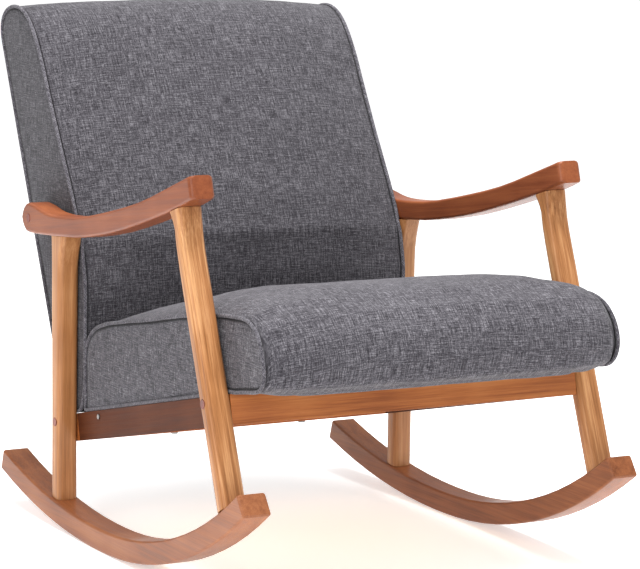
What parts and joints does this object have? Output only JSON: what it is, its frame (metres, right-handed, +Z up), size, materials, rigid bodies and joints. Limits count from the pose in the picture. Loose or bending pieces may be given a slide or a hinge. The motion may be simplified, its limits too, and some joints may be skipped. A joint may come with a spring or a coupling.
{
  "type": "rocking chair",
  "caption": "Wooden rocking chair with curved runners, swept armrests, a sloping padded seat with overhanging front and a reclined padded back.",
  "frame": {"origin": "middle of the outline seen from above, at floor level, with the chair at rest on its runners", "axes": "+Z up; the sitter faces -Y; +X is the sitter's left; the chair is a mirror image of itself across X"},
  "size_m": [0.6812, 0.9864, 0.8412],
  "materials": {
    "honey_wood": "satin",
    "red_wood": "satin",
    "rail_wood": "satin",
    "plain_wood": "matte",
    "plug_wood": "satin",
    "seat_fabric": "matte",
    "back_fabric": "matte",
    "steel": "satin"
  },
  "bodies": {
    "root": {"arm_bolt_left": "steel", "arm_bolt_right": "steel", "arm_plug_left": "plug_wood", "arm_plug_right": "plug_wood", "armrest_left": "red_wood", "armrest_right": "red_wood", "back_bolt_left": "steel", "back_bolt_right": "steel", "back_bottom_board": "plain_wood", "back_cushion": "back_fabric", "back_front_panel": "plain_wood", "back_rear_cover": "back_fabric", "back_side_board_left": "plain_wood", "back_side_board_right": "plain_wood", "back_top_board": "plain_wood", "corner_block_front_left": "plain_wood", "corner_block_front_right": "plain_wood", "corner_block_rear_left": "plain_wood", "corner_block_rear_right": "plain_wood", "front_arm_dowel_left": "plain_wood", "front_arm_dowel_right": "plain_wood", "front_foot_dowel_left": "plain_wood", "front_foot_dowel_right": "plain_wood", "front_leg_bolt_left": "steel", "front_leg_bolt_right": "steel", "front_leg_left": "honey_wood", "front_leg_nut_left": "steel", "front_leg_nut_right": "steel", "front_leg_plug_left": "plug_wood", "front_leg_plug_right": "plug_wood", "front_leg_right": "honey_wood", "front_rail": "rail_wood", "rail_dowel_front_left": "plain_wood", "rail_dowel_front_right": "plain_wood", "rail_dowel_rear_left": "plain_wood", "rail_dowel_rear_right": "plain_wood", "rail_screw_left": "steel", "rail_screw_right": "steel", "rear_arm_dowel_left": "plain_wood", "rear_arm_dowel_right": "plain_wood", "rear_foot_dowel_left": "plain_wood", "rear_foot_dowel_right": "plain_wood", "rear_leg_bolt_left": "steel", "rear_leg_bolt_right": "steel", "rear_leg_left": "honey_wood", "rear_leg_nut_left": "steel", "rear_leg_nut_right": "steel", "rear_leg_plug_left": "plug_wood", "rear_leg_plug_right": "plug_wood", "rear_leg_right": "honey_wood", "rear_rail": "rail_wood", "runner_left": "red_wood", "runner_right": "red_wood", "seat_cushion": "seat_fabric", "seat_panel": "plain_wood", "side_rail_left": "rail_wood", "side_rail_right": "rail_wood"}
  },
  "joints": []
}
